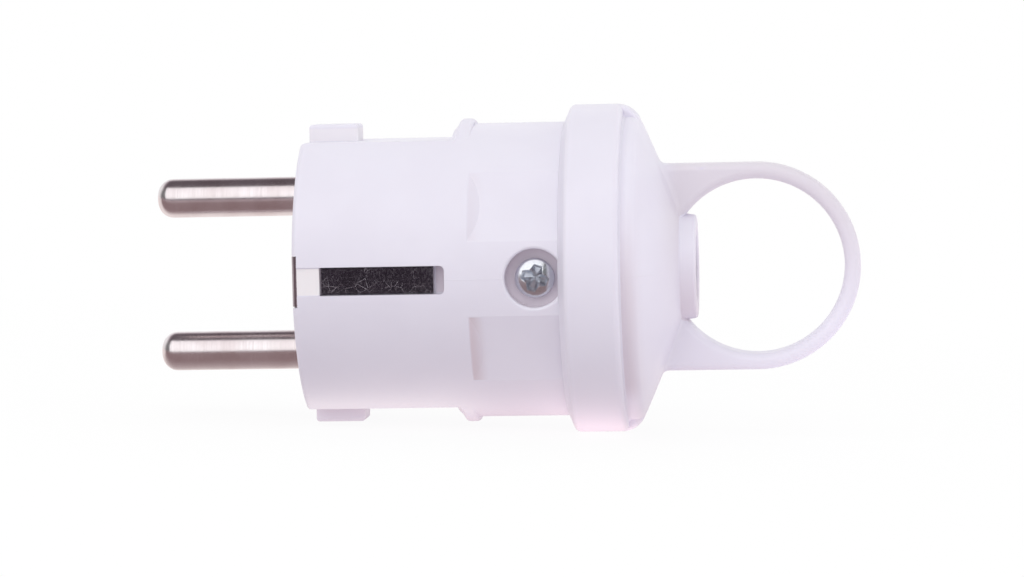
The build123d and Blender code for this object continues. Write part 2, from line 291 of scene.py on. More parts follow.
class WellShade(Effect):
    """Painted shade in two round wells that face each other along Y, growing darker deeper in."""

    name = "well_painted_shade"
    inputs = ("Vector", "Place", "Radius", "Mouth")
    fade = 1.6 * MM

    def fill(self, sheet: Sheet, given: Sockets) -> Fill:
        """Builds the group's nodes, as Effect.fill says."""
        axes = sheet.axes(given["Vector"])
        along = sheet.math("SUBTRACT", axes["X"], given["Place"])
        inside = sheet.math("LESS_THAN", sheet.distance(along, axes["Z"]), given["Radius"])
        height = sheet.math("ABSOLUTE", axes["Y"])
        deep = sheet.ramp(height, given["Mouth"], sheet.math("SUBTRACT", given["Mouth"], self.fade))
        return {"Shade": sheet.product(inside, deep)}


class GripShade(Effect):
    """Painted shade in the sloping ends of the grips, darker in the lower ones."""

    name = "grip_painted_shade"
    inputs = ("Vector", "Start", "Radius")
    rise = (-0.05 * MM, 0.3 * MM)
    fall = (0.2 * MM, 2.2 * MM, 1.0, 0.0)
    depths = (0.03 * MM, 0.75 * MM)
    lower_share = ("Z", 3.0, -3.0, 0.2, 1.0)

    def fill(self, sheet: Sheet, given: Sockets) -> Fill:
        """Builds the group's nodes, as Effect.fill says."""
        axes = sheet.axes(given["Vector"])
        along = sheet.math("SUBTRACT", axes["X"], given["Start"])
        depth = sheet.math("SUBTRACT", given["Radius"], sheet.distance(axes["Y"], axes["Z"]))
        sunk = sheet.math("GREATER_THAN", depth, self.depths[0])
        outside = sheet.math("LESS_THAN", depth, self.depths[1])
        rise, fall = sheet.ramp(along, *self.rise), sheet.ramp(along, *self.fall)
        return {"Shade": sheet.product(rise, fall, sunk, outside, sheet.ramps(axes, self.lower_share))}


class LightenedWeb(Effect):
    """Paler patches on the webs in front of the earth contact's slots, and painted shade in the slots' rear ends."""

    name = "lightened_web"
    inputs = ("Vector", "End", "Slot End", "Half Width", "Depth")
    # Reach of the painted shade at the slots' rear ends, and the radius below which it lies.
    shading_reach = 0.8 * MM
    shading_radius = 17.9 * MM

    def fill(self, sheet: Sheet, given: Sockets) -> Fill:
        """Builds the group's nodes, as Effect.fill says."""
        axes = sheet.axes(given["Vector"])
        across = sheet.math("LESS_THAN", sheet.math("ABSOLUTE", axes["Z"]), given["Half Width"])
        near = sheet.math("GREATER_THAN", sheet.math("ABSOLUTE", axes["Y"]), given["Depth"])
        slot = sheet.product(across, near)
        front = sheet.math("LESS_THAN", axes["X"], given["End"])
        rear = sheet.math("COMPARE", axes["X"], given["Slot End"], self.shading_reach)
        sunk = sheet.math("LESS_THAN", sheet.distance(axes["Y"], axes["Z"]), self.shading_radius)
        return {"Lightened": sheet.product(slot, front), "Film": sheet.product(slot, rear, sunk)}


class KeyPaintedLight(Effect):
    """Painted shade on the lower guide key, darkest where it meets the nose, and painted light on the upper key."""

    name = "key_painted_light"
    inputs = ("Vector", "End", "Half Width", "Foot")
    # Ramps of the painted shade on the lower key and of the painted light on the upper key, by height above the key's
    # foot.
    film = (0.0, 2.0 * MM, 1.0, 0.4)
    lightened = (1.4 * MM, 1.8 * MM, 0.6, 0.0)

    def fill(self, sheet: Sheet, given: Sockets) -> Fill:
        """Builds the group's nodes, as Effect.fill says."""
        axes = sheet.axes(given["Vector"])
        front = sheet.math("LESS_THAN", axes["X"], given["End"])
        across = sheet.math("LESS_THAN", sheet.math("ABSOLUTE", axes["Y"]), given["Half Width"])
        painted_light = {}
        for name, side, slope in (("Film", -1.0, self.film), ("Lightened", 1.0, self.lightened)):
            height = sheet.math("SUBTRACT", sheet.math("MULTIPLY", axes["Z"], side), given["Foot"])
            beyond = sheet.math("GREATER_THAN", height, 0.0)
            painted_light[name] = sheet.product(front, across, beyond, sheet.ramp(height, *slope))
        return painted_light


class CoverPaintedLight(Effect):
    """Painted shade in the lower part of the step between flange and dome, under the collar and towards the top of the
    pull ring.
    """

    name = "cover_painted_light"
    inputs = ("Vector", "Step", "Foot", "Collar", "Mouth")
    step_rise = (0.0, 0.2 * MM)
    step_fall = (0.8 * MM, 2.9 * MM, 1.0, 0.0)
    step_heights = (("Z", 11.0, -3.0), ("Z", -16.0, -13.0))
    collar_reach = 6.9 * MM
    collar_heights = ("Z", 4.0, -5.0)
    ring_ramps = (("X", 42.5, 46.0), ("Z", -9.0, 8.0))

    def fill(self, sheet: Sheet, given: Sockets) -> Fill:
        """Builds the group's nodes, as Effect.fill says."""
        axes = sheet.axes(given["Vector"])
        off_axis = sheet.distance(axes["Y"], axes["Z"])
        past_step = sheet.math("SUBTRACT", axes["X"], given["Step"])
        step = sheet.product(
            sheet.ramp(past_step, *self.step_rise),
            sheet.ramp(past_step, *self.step_fall),
            sheet.math("LESS_THAN", off_axis, given["Foot"]),
            sheet.ramps(axes, *self.step_heights),
        )
        beside = sheet.math("LESS_THAN", off_axis, self.collar_reach)
        collar = sheet.product(
            beside,
            sheet.math("GREATER_THAN", axes["X"], given["Collar"]),
            sheet.math("LESS_THAN", axes["X"], given["Mouth"]),
            sheet.ramps(axes, self.collar_heights),
        )
        behind = sheet.math("GREATER_THAN", axes["X"], given["Mouth"])
        free = sheet.math("MAXIMUM", behind, sheet.math("SUBTRACT", 1.0, beside))
        return {"Step": step, "Collar": collar, "Ring": sheet.product(free, sheet.ramps(axes, *self.ring_ramps))}


class ToolLines(Effect):
    """Fine lines of turning, rolling or rubbing on metal, and a few deeper scratches."""

    name = "tool_lines"
    inputs = ("Vector", "Stretch", "Scratch Scale")
    line_detail = 3.0
    line_range = (0.3, 0.7)
    warp_scale = 260.0
    warp = (0.7 * MM, 0.7 * MM, 0.7 * MM)
    scratch_width = 0.028
    patch_scale = 420.0
    patch_range = (0.42, 0.62)
    stain_scale = 170.0
    stain_detail = 4.0
    stain_range = (0.42, 0.68)

    def fill(self, sheet: Sheet, given: Sockets) -> Fill:
        """Builds the group's nodes, as Effect.fill says."""
        where = given["Vector"]
        stretched = sheet.join("VectorMath", {0: where, 1: given["Stretch"]}, operation="MULTIPLY")
        lines = sheet.noise(stretched, 1.0, self.line_detail)
        drift = sheet.noise(where, self.warp_scale).node.outputs["Color"]
        bent = sheet.join("VectorMath", {0: drift, 1: self.warp, 2: where}, operation="MULTIPLY_ADD")
        cells = sheet.add("TexVoronoi", feature="DISTANCE_TO_EDGE")
        sheet.feed(cells, "Vector", bent)
        sheet.feed(cells, "Scale", given["Scratch Scale"])
        thin = sheet.ramp(cells.outputs["Distance"], self.scratch_width, 0.0)
        patch = sheet.ramp(sheet.noise(where, self.patch_scale), *self.patch_range)
        return {
            "Lines": sheet.ramp(lines, *self.line_range),
            "Scratch": sheet.product(thin, patch),
            "Stain": sheet.ramp(sheet.noise(where, self.stain_scale, self.stain_detail), *self.stain_range),
        }


class Grain(Enum):
    """Which way the tool lines of a metal finish run, as lines in each metre along X, Y and Z."""

    AROUND = (7000.0, 160.0, 160.0)
    ALL_WAYS = (3600.0, 3600.0, 3600.0)


@dataclass(frozen=True)
class Finish:
    """What every finish has: a name, its record slot and a Principled shader."""

    name: str
    slot: str

    def start(self) -> tuple[Sheet, bpy.types.Node, Socket]:
        """Makes the material.

        Returns:
            Its tree, its shader and the object coordinates.
        """
        material = bpy.data.materials.new(self.name)
        material.use_nodes = True
        sheet = Sheet(material.node_tree)
        where = sheet.add("TexCoord").outputs["Object"]
        return sheet, sheet.tree.nodes["Principled BSDF"], where

    def material(self) -> bpy.types.Material:
        """Finds the material, or builds it the first time."""
        return bpy.data.materials.get(self.name) or self.build()

    def build(self) -> bpy.types.Material:
        """Builds the material's nodes.

        Returns:
            The material.
        """
        raise NotImplementedError

    @staticmethod
    def bump(sheet: Sheet, shader: bpy.types.Node, height: Source, strength: float, depth: float) -> None:
        """Gives a shader the bumps of a height pattern, by how much they show and their real depth."""
        normal = sheet.join("Bump", {"Strength": strength, "Distance": depth, "Height": height})
        sheet.feed(shader, "Normal", normal)


@dataclass(frozen=True)
class MouldedPlastic(Finish):
    """Satin moulded plastic with a faint cloud, dust specks and a parting line."""

    colour: Triple = (0.80, 0.778, 0.868)
    shade: Triple = (0.77, 0.745, 0.835)
    speck: Triple = (0.42, 0.38, 0.36)
    # Colour of the painted shade in the wells, grip ends, slot ends, lower key, step and collar.
    painted_shade: Triple = (0.58, 0.43, 0.45)
    cloud_scale: float = 110.0
    speck_scale: float = 330.0
    grain_scale: float = 5200.0
    cloud_share: float = 0.5
    line_share: float = 0.35
    speck_share: float = 0.45
    roughness: float = 0.38
    rough_spread: float = 0.07
    softness: float = 0.12
    scatter: Triple = (1.0, 0.9, 0.85)
    scatter_depth: float = 0.8 * MM
    line_start: float = 0.0
    line_end: float = 0.0
    line_half_width: float = 0.09 * MM
    grain_height: float = 0.03
    bump_share: float = 0.3
    bump_depth: float = 0.05 * MM

    def build(self) -> bpy.types.Material:
        """Builds the material's nodes, as Finish.build says."""
        sheet, shader, where = self.start()
        skin = MouldingSkin().place(
            sheet, Vector=where, Cloud_Scale=self.cloud_scale, Speck_Scale=self.speck_scale,
            Grain_Scale=self.grain_scale,
        )
        line = MouldLine().place(
            sheet, Vector=where, Half_Width=self.line_half_width, Start=self.line_start, End=self.line_end
        )["Line"]
        tone = sheet.layers(
            self.colour, (skin["Cloud"], self.cloud_share, self.shade), (line, self.line_share, self.shade)
        )
        # The marks of a subclass are painted shade and painted light, laid before the dust specks.
        tone = sheet.layers(tone, *self.marks(sheet, where), (skin["Speck"], self.speck_share, self.speck))
        rough = sheet.ramp(skin["Cloud"], 0.0, 1.0, self.roughness, self.roughness + self.rough_spread)
        sheet.feed(shader, "Base Color", tone)
        sheet.feed(shader, "Roughness", rough)
        sheet.feed(shader, "Subsurface Weight", self.softness)
        sheet.feed(shader, "Subsurface Radius", self.scatter)
        sheet.feed(shader, "Subsurface Scale", self.scatter_depth)
        height = sheet.math("MULTIPLY_ADD", skin["Grain"], self.grain_height, line)
        self.bump(sheet, shader, height, self.bump_share, self.bump_depth)
        return bpy.data.materials[self.name]

    def marks(self, sheet: Sheet, where: Socket) -> tuple[Mark, ...]:
        """The painted shade and light laid over a moulding; a plain moulding has none.

        Args:
            sheet: The material's tree.
            where: The object coordinates.

        Returns:
            The mask, the share and the colour of each mark, in their order.
        """
        return ()


@dataclass(frozen=True)
class NosePlastic(MouldedPlastic):
    """The nose's moulding: painted shade in wells, grip ends, slot ends and on the lower key; paler webs; painted
    light on the upper key.
    """

    well_place: float = 28.9 * MM
    well_radius: float = 3.6 * MM
    well_mouth: float = 17.9 * MM
    well_share: float = 0.28
    grip_start: float = 20.9 * MM
    skirt_radius: float = 18.05 * MM
    grip_share: float = 0.45
    web_end: float = 3.35 * MM
    web_half_width: float = 1.6 * MM
    web_depth: float = 15.0 * MM
    slot_end: float = 17.9 * MM
    slot_share: float = 0.3
    key_end: float = 6.5 * MM
    key_half_width: float = 2.55 * MM
    key_foot: float = 16.25 * MM
    key_share: float = 0.24
    # Paler tone of the webs, and painted light on the upper key.
    lightened: Triple = (0.90, 0.87, 0.89)

    def marks(self, sheet: Sheet, where: Socket) -> tuple[Mark, ...]:
        """Painted shade, paler webs and painted light, as MouldedPlastic.marks says."""
        well = WellShade().place(
            sheet, Vector=where, Place=self.well_place, Radius=self.well_radius, Mouth=self.well_mouth
        )
        grip = GripShade().place(sheet, Vector=where, Start=self.grip_start, Radius=self.skirt_radius)
        web = LightenedWeb().place(
            sheet, Vector=where, End=self.web_end, Slot_End=self.slot_end, Half_Width=self.web_half_width,
            Depth=self.web_depth,
        )
        key = KeyPaintedLight().place(
            sheet, Vector=where, End=self.key_end, Half_Width=self.key_half_width, Foot=self.key_foot
        )
        # Painted shade in the wells, grip ends, lower key and slot ends, then the paler webs and painted light on the
        # upper key.
        return (
            (well["Shade"], self.well_share, self.painted_shade),
            (grip["Shade"], self.grip_share, self.painted_shade),
            (key["Film"], self.key_share, self.painted_shade),
            (web["Film"], self.slot_share, self.painted_shade),
            (sheet.math("MAXIMUM", web["Lightened"], key["Lightened"]), 1.0, self.lightened),
        )


@dataclass(frozen=True)
class CoverPlastic(MouldedPlastic):
    """The cover's moulding, with painted shade in its step, under its collar and on its pull ring."""

    step_place: float = 39.0 * MM
    foot_radius: float = 18.75 * MM
    collar_start: float = 45.6 * MM
    collar_mouth: float = 47.7 * MM
    step_share: float = 0.3
    collar_share: float = 0.24
    ring_share: float = 0.85
    # Painted shade towards the top of the pull ring.
    ring_shade: Triple = (0.71, 0.665, 0.72)

    def marks(self, sheet: Sheet, where: Socket) -> tuple[Mark, ...]:
        """Painted shade, as MouldedPlastic.marks says."""
        painted_light = CoverPaintedLight().place(
            sheet, Vector=where, Step=self.step_place, Foot=self.foot_radius, Collar=self.collar_start,
            Mouth=self.collar_mouth,
        )
        # Painted shade in the step, under the collar and on the pull ring.
        return (
            (painted_light["Step"], self.step_share, self.painted_shade),
            (painted_light["Collar"], self.collar_share, self.painted_shade),
            (painted_light["Ring"], self.ring_share, self.ring_shade),
        )


@dataclass(frozen=True)
class PlatedMetal(Finish):
    """Plated or bare metal with tool lines, scratches and stains."""

    colour: Triple = (0.6, 0.6, 0.6)
    dark: Triple = (0.4, 0.4, 0.4)
    scratch: Triple = (0.8, 0.8, 0.8)
    roughness: float = 0.25
    rough_spread: float = 0.12
    grain: Grain = Grain.ALL_WAYS
    stain_share: float = 0.8
    line_tone: float = 0.3
    line_share: float = 1.0
    line_depth: float = 0.25
    bump_depth: float = 0.01 * MM
    scratch_share: float = 0.5
    scratch_scale: float = 500.0

    def build(self) -> bpy.types.Material:
        """Builds the material's nodes, as Finish.build says."""
        sheet, shader, where = self.start()
        marks = ToolLines().place(sheet, Vector=where, Stretch=self.grain.value, Scratch_Scale=self.scratch_scale)
        lines, scratch = marks["Lines"], marks["Scratch"]
        tone = sheet.layers(
            self.colour,
            (marks["Stain"], self.stain_share, self.dark),
            (lines, self.line_tone, self.dark),
            (scratch, self.scratch_share, self.scratch),
        )
        worn = sheet.math("MULTIPLY_ADD", lines, self.line_share, scratch)
        sheet.feed(shader, "Base Color", tone)
        sheet.feed(shader, "Roughness", sheet.ramp(worn, 0.0, 1.0, self.roughness, self.roughness + self.rough_spread))
        sheet.feed(shader, "Metallic", 1.0)
        self.bump(sheet, shader, sheet.math("SUBTRACT", lines, scratch), self.line_depth, self.bump_depth)
        return bpy.data.materials[self.name]


NOSE_WHITE = NosePlastic("nose_white", "white_moulding", line_start=18.3 * MM, line_end=25.6 * MM)
COVER_WHITE = CoverPlastic("cover_white", "white_moulding", line_start=39.0 * MM, line_end=43.0 * MM)
HOLDER_GREY = MouldedPlastic(
    "holder_grey", "holder_moulding", colour=(0.50, 0.50, 0.49), shade=(0.44, 0.44, 0.43), roughness=0.5, softness=0.0
)
PIN_NICKEL = PlatedMetal(
    "pin_plate", "pin_nickel", colour=(0.80, 0.75, 0.765), dark=(0.68, 0.60, 0.61), scratch=(0.88, 0.85, 0.84),
    roughness=0.21, rough_spread=0.06, grain=Grain.AROUND, line_depth=0.03, scratch_share=0.2,
)
EARTH_NICKEL = PlatedMetal(
    "earth_nickel", "earth_metal", colour=(0.38, 0.345, 0.385), dark=(0.23, 0.205, 0.235), scratch=(0.85, 0.85, 0.92),
    roughness=0.085, rough_spread=0.14, grain=Grain.ALL_WAYS, line_depth=0.012, line_share=0.5, scratch_share=0.22,
    scratch_scale=900.0,
)
SCREW_ZINC = PlatedMetal(
    "screw_plate", "screw_zinc", colour=(0.76, 0.78, 0.83), dark=(0.65, 0.67, 0.72), scratch=(0.84, 0.86, 0.89),
    roughness=0.18, rough_spread=0.06, grain=Grain.ALL_WAYS, line_depth=0.02, scratch_share=0.2, scratch_scale=1300.0,
)
TERMINAL_BRASS = PlatedMetal(
    "turned_brass", "terminal_brass", colour=(0.78, 0.60, 0.30), dark=(0.52, 0.36, 0.17), scratch=(0.90, 0.76, 0.46),
    roughness=0.28, rough_spread=0.15, grain=Grain.AROUND, line_depth=0.3,
)


def dress(frame: dict, finish: Finish, *nodes: str) -> None:
    """Gives CAD nodes a finish.

    Args:
        frame: The loaded frame.
        finish: The finish.
        *nodes: The nodes' names.
    """
    for name in nodes:
        frame["nodes"][name].material_slots[0].material = finish.material()
        LOG.info("%s: %s", name, finish.name)


def settle(piece: bpy.types.Object, finish: Finish, *nodes: str) -> None:
    """Lets a finished piece ride on the plug in place of CAD nodes.

    Args:
        piece: The piece, in place.
        finish: Its finish.
        *nodes: The nodes that it stands for.
    """
    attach(piece, BODY)
    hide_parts(*nodes)
    LOG.info("%s: %d faces, %s", piece.name, len(piece.data.polygons), finish.name)


class HeadForm(Enum):
    """Forms of a screw's head."""

    PAN = "pan"
    COUNTERSUNK = "countersunk"


@dataclass
class CrossScrew:
    """Screw with a cross recess and a rolled thread, along Z with its head up and its seat at the origin.

    A countersunk screw has the flat of its head at the origin.
    """

    head: float
    head_height: float
    shank: float
    length: float
    form: HeadForm = HeadForm.PAN
    recess_span: float = 3.4 * MM
    recess_width: float = 1.0 * MM
    recess_depth: float = 1.5 * MM
    pitch: float = 0.9 * MM
    thread_depth: float = 0.28 * MM
    point_turns: float = 1.4
    point_share: float = 0.35
    neck_turns: float = 0.6
    flank: float = 0.38
    rim_height: float = 0.12 * MM
    rim_round: float = 0.04 * MM
    rim_width: float = 0.3 * MM
    foot_round: float = 0.08 * MM
    dome_slope: float = 32.0
    dome_rings: int = 8
    recess_core: float = 2.3
    recess_taper: Triple = (1.06, 1.0, 0.74)
    recess_tip: float = 1.7
    edge_round: float = 0.03 * MM
    edge_rings: int = 2
    edge_angle: float = 40.0
    steps: int = 48
    rows_per_turn: int = 8

    def profile(self) -> list[Triple]:
        """Rings of the head, from the shank up.

        Returns:
            Height and radius of each ring, and no thread.
        """
        radius = self.head / 2
        if self.form is HeadForm.COUNTERSUNK:
            insets = ((-self.rim_height, 0.0), (0.0, self.rim_round), (0.0, self.rim_width))
            return [(height, radius - inset, 0.0) for height, inset in insets]
        slope = math.radians(self.dome_slope)
        sphere = radius / math.sin(slope)
        turns = [slope * share / self.dome_rings for share in range(self.dome_rings, 0, -1)]
        dome = [(self.head_height - sphere * (1.0 - math.cos(turn)), sphere * math.sin(turn), 0.0) for turn in turns]
        return [(0.0, radius - self.foot_round, 0.0), (self.foot_round, radius, 0.0), *dome]

    def thread(self) -> list[Triple]:
        """Rings of the threaded shank, from the tip up.

        Returns:
            Height, core radius and thread height of each ring.
        """
        under = self.head_height if self.form is HeadForm.COUNTERSUNK else 0.0
        reach = self.length - under
        count = round(reach / self.pitch * self.rows_per_turn)
        point = self.point_turns * self.pitch
        rings = []
        for row in range(count):
            rise = reach * row / count
            taper = min(1.0, self.point_share + (1.0 - self.point_share) * rise / point)
            neck = min(1.0, max(0.0, (reach - rise) / self.pitch - self.neck_turns))
            height = self.thread_depth * taper * neck
            core = (self.shank / 2 - self.thread_depth) * taper + (1.0 - neck) * self.thread_depth
            rings.append((rise - self.length, core, height))
        return rings

    def turned(self) -> bmesh.types.BMesh:
        """Turns the screw without its recess.

        Returns:
            A closed mesh.
        """
        shape = bmesh.new()
        angles = [math.tau * step / self.steps for step in range(self.steps)]
        loops = []
        for height, core, thread in (*self.thread(), *self.profile()):
            loop = []
            for step, angle in enumerate(angles):
                phase = (height / self.pitch - step / self.steps) % 1.0
                radius = core + thread * max(0.0, 1.0 - abs(phase - 0.5) / self.flank)
                loop.append(shape.verts.new((radius * math.cos(angle), radius * math.sin(angle), height)))
            loops.append(loop)
        for low, high in zip(loops, loops[1:]):
            for step in range(self.steps):
                ahead = (step + 1) % self.steps
                shape.faces.new((low[step], low[ahead], high[ahead], high[step]))
        shape.faces.new(reversed(loops[0]))
        shape.faces.new(loops[-1])
        return shape

    def recess(self) -> bmesh.types.BMesh:
        """Cutter of the cross recess: four tapered wings about a pointed core.

        Returns:
            A closed mesh.
        """
        top = self.head_height if self.form is HeadForm.PAN else 0.0
        arm, half, depth = self.recess_span / 2, self.recess_width / 2, self.recess_depth
        corner = self.recess_core * half / math.sqrt(2)
        outline = []
        for quarter in range(4):
            turn = Matrix.Rotation(math.radians(90 * quarter), 3, "Z")
            for x, y in ((arm, -half), (arm, half), (corner, corner)):
                outline.append(turn @ Vector((x, y, 0.0)))
        shape = bmesh.new()
        loops = []
        for share, height in zip(self.recess_taper, (top + depth, top, top - depth)):
            loops.append([shape.verts.new((share * p.x, share * p.y, height)) for p in outline])
        for high, low in zip(loops, loops[1:]):
            for step in range(len(outline)):
                ahead = (step + 1) % len(outline)
                shape.faces.new((high[step], low[step], low[ahead], high[ahead]))
        shape.faces.new(loops[0])
        tip = shape.verts.new((0.0, 0.0, top - self.recess_tip * depth))
        for step in range(len(outline)):
            shape.faces.new((loops[-1][(step + 1) % len(outline)], loops[-1][step], tip))
        return shape

    def mesh(self) -> bpy.types.Mesh:
        """Cuts the recess out of the turned screw.

        Returns:
            The screw's mesh.
        """
        blank = object_from(self.turned(), "screw_blank")
        cutter = object_from(self.recess(), "screw_cutter")
        cut = blank.modifiers.new("recess", "BOOLEAN")
        cut.object = cutter
        cut.solver = "EXACT"
        soft = blank.modifiers.new("edge", "BEVEL")
        soft.width = self.edge_round
        soft.segments = self.edge_rings
        soft.limit_method = "ANGLE"
        soft.angle_limit = math.radians(self.edge_angle)
        mesh = baked(blank)
        for spare in (blank, cutter):
            bpy.data.objects.remove(spare)
        smooth(mesh)
        return mesh


def object_from(shape: bmesh.types.BMesh, name: str) -> bpy.types.Object:
    """Makes an object of a bmesh, with its faces outwards.

    Args:
        shape: The mesh, which is used up.
        name: The object's name.

    Returns:
        The object, in the scene.
    """
    bmesh.ops.recalc_face_normals(shape, faces=shape.faces)
    mesh = bpy.data.meshes.new(name)
    shape.to_mesh(mesh)
    shape.free()
    item = bpy.data.objects.new(name, mesh)
    bpy.context.scene.collection.objects.link(item)
    return item


def baked(item: bpy.types.Object) -> bpy.types.Mesh:
    """A new plain mesh of an object with its modifiers applied."""
    graph = bpy.context.evaluated_depsgraph_get()
    return bpy.data.meshes.new_from_object(item.evaluated_get(graph))


def smooth(mesh: bpy.types.Mesh, angle: float = 32.0) -> None:
    """Shades a mesh smoothly, with creases at its sharp edges.

    Args:
        mesh: The mesh.
        angle: The angle past which an edge is a crease, in degrees.
    """
    for face in mesh.polygons:
        face.use_smooth = True
    mesh.set_sharp_from_angle(angle=math.radians(angle))


@dataclass
class ScrewRow:
    """Equal screws set in a row by geometry nodes."""

    node: str
    screw: CrossScrew
    heading: Triple
    first: Vector
    step: Vector
    count: int
    twist: float = 0.0
    spread: float = 0.0
    seed: int = 3
    opposed: bool = False

    def tree(self) -> bpy.types.NodeTree:
        """Finds the tree that sets screws in a row, or builds it the first time.

        Returns:
            The geometry node tree.
        """
        known = bpy.data.node_groups.get("screw_row")
        if known:
            return known
        tree = bpy.data.node_groups.new("screw_row", "GeometryNodeTree")
        sockets = (
            ("Geometry", "Geometry"), ("Count", "Int"), ("First", "Vector"), ("Step", "Vector"), ("Heading", "Vector"),
            ("Opposed", "Float"), ("Twist", "Float"), ("Spread", "Float"), ("Seed", "Int"), ("Finish", "Material"),
        )
        for name, kind in sockets:
            tree.interface.new_socket(name, in_out="INPUT", socket_type="NodeSocket" + kind)
        tree.interface.new_socket("Geometry", in_out="OUTPUT", socket_type="NodeSocketGeometry")
        sheet = Sheet(tree)
        given = sheet.add("NodeGroupInput").outputs
        line = {"Count": given["Count"], "Start Location": given["First"], "Offset": given["Step"]}
        points = sheet.join("GeometryNodeMeshLine", line)
        index = sheet.join("GeometryNodeInputIndex", {})

        back = sheet.math("MULTIPLY", index, given["Opposed"])
        side = sheet.math("MULTIPLY_ADD", back, -2.0, 1.0)
        facing = sheet.join("VectorMath", {0: given["Heading"], "Scale": side}, operation="SCALE")
        aim = sheet.join("FunctionNodeAlignRotationToVector", {"Vector": facing}, axis="Z")

        chance = sheet.add("FunctionNodeRandomValue", data_type="FLOAT")
        sheet.feed(chance, "ID", index)
        sheet.feed(chance, "Seed", given["Seed"])
        twist = sheet.math("MULTIPLY_ADD", chance.outputs[1], given["Spread"], given["Twist"])
        about = sheet.join("FunctionNodeAxisAngleToRotation", {"Axis": (0.0, 0.0, 1.0), "Angle": twist})
        turns = {"Rotation": aim, "Rotate By": about}
        driven = sheet.join("FunctionNodeRotateRotation", turns, rotation_space="LOCAL")

        places = {"Points": points, "Instance": given["Geometry"], "Rotation": driven}
        real = sheet.join("GeometryNodeRealizeInstances", {0: sheet.join("GeometryNodeInstanceOnPoints", places)})
        done = sheet.join("GeometryNodeSetMaterial", {"Geometry": real, "Material": given["Finish"]})
        sheet.feed(sheet.add("NodeGroupOutput"), 0, done)
        return tree

    def build(self) -> None:
        """Sets the screws and lets them stand for their CAD node."""
        piece = bpy.data.objects.new(self.node + "_threaded", self.screw.mesh())
        tree = self.tree()
        values = {
            "Count": self.count, "First": tuple(self.first), "Step": tuple(self.step), "Heading": self.heading,
            "Opposed": float(self.opposed), "Twist": math.radians(self.twist), "Spread": self.spread,
            "Seed": self.seed, "Finish": SCREW_ZINC.material(),
        }
        row = piece.modifiers.new("row", "NODES")
        row.node_group = tree
        for item in tree.interface.items_tree:
            if item.in_out == "INPUT" and item.name in values:
                row[item.identifier] = values[item.name]
        bpy.context.scene.collection.objects.link(piece)
        single = piece.data
        mesh = baked(piece)
        piece.modifiers.remove(row)
        piece.data = mesh
        bpy.data.meshes.remove(single)
        mesh.name = piece.name
        settle(piece, SCREW_ZINC, self.node)


@dataclass
class Fasteners:
    """All the plug's screws, each set sized and placed from its CAD node."""

    pan_height: float = 1.5 * MM
    terminal_head: float = 5.4 * MM
    terminal_height: float = 1.7 * MM
    terminal_shank: float = 2.9 * MM
    small_head: float = 4.4 * MM
    small_shank: float = 2.4 * MM
    cover_head: float = 4.7 * MM
    cover_shank: float = 2.8 * MM
    earth_head: float = 5.6 * MM
    cover_twist: float = -17.0
    earth_twist: float = 30.0
    inner_spread: float = 1.5

    def build(self) -> None:
        """Builds every set of screws."""
        self.cover_set()
        self.terminal_set()
        self.holder_set()
        self.clamp_set()
        self.earth_set()

    def cover_set(self) -> None:
        """The two screws that hold the cover, one on each side."""
        low, high = (Vector(corner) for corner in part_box("cover_screws"))
        middle = (low + high) / 2
        seat = low.y + self.pan_height
        length = seat_depth("cover_screws", seat)
        screw = CrossScrew(self.cover_head, self.pan_height, self.cover_shank, length)
        first = Vector((middle.x, seat, middle.z))
        step = Vector((0.0, -2 * (seat - middle.y), 0.0))
        ScrewRow("cover_screws", screw, (0, -1, 0), first, step, 2, twist=self.cover_twist, opposed=True).build()

    def terminal_set(self) -> None:
        """The wire screws of the three terminals."""
        low, high = (Vector(corner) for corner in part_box("terminal_screws"))
        seat = high.x - self.terminal_height
        screw = CrossScrew(self.terminal_head, self.terminal_height, self.terminal_shank, seat - low.x)
        first = Vector((seat, 0.0, low.z + self.terminal_head / 2))
        step = Vector((0.0, 0.0, (high.z - low.z - self.terminal_head) / 2))
        ScrewRow("terminal_screws", screw, (1, 0, 0), first, step, 3, spread=self.inner_spread).build()

    def holder_set(self) -> None:
        """The two screws of the contact holder."""
        low, high = (Vector(corner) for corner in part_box("holder_screws"))
        seat = high.x - self.pan_height
        screw = CrossScrew(self.small_head, self.pan_height, self.small_shank, seat - low.x)
        first = Vector((seat, low.y + self.small_head / 2, 0.0))
        step = Vector((0.0, high.y - low.y - self.small_head, 0.0))
        ScrewRow("holder_screws", screw, (1, 0, 0), first, step, 2, spread=self.inner_spread).build()

    def clamp_set(self) -> None:
        """The two screws of the cord clamp."""
        low, high = (Vector(corner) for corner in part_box("clamp_screws"))
        seat = low.y + self.pan_height
        screw = CrossScrew(self.small_head, self.pan_height, self.small_shank, high.y - seat)
        first = Vector(((low.x + high.x) / 2, seat, low.z + self.small_head / 2))
        step = Vector((0.0, 0.0, high.z - low.z - self.small_head))
        ScrewRow("clamp_screws", screw, (0, -1, 0), first, step, 2, spread=self.inner_spread).build()

    def earth_set(self) -> None:
        """The countersunk screw in the middle of the engagement face."""
        low, high = (Vector(corner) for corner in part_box("earth_screw"))
        depth = (self.earth_head - self.terminal_shank) / 2
        screw = CrossScrew(self.earth_head, depth, self.terminal_shank, high.x - low.x, HeadForm.COUNTERSUNK)
        first, step = Vector((low.x, 0, 0)), Vector((1, 0, 0))
        ScrewRow("earth_screw", screw, (-1, 0, 0), first, step, 1, twist=self.earth_twist).build()


def seat_depth(node: str, seat: float) -> float:
    """How far the screws of a node along Y reach past their seat on the -Y side."""
    points = (vertex.co.y for vertex in bpy.data.objects[node].data.vertices)
    return max(y for y in points if y < 0.0) - seat


def bearing(azimuth: float, elevation: float) -> Vector:
    """Unit vector from the plug towards a camera or a lamp, at angles in degrees."""
    turn, lift = math.radians(azimuth), math.radians(elevation)
    return Vector((math.sin(turn) * math.cos(lift), -math.cos(turn) * math.cos(lift), math.sin(lift)))


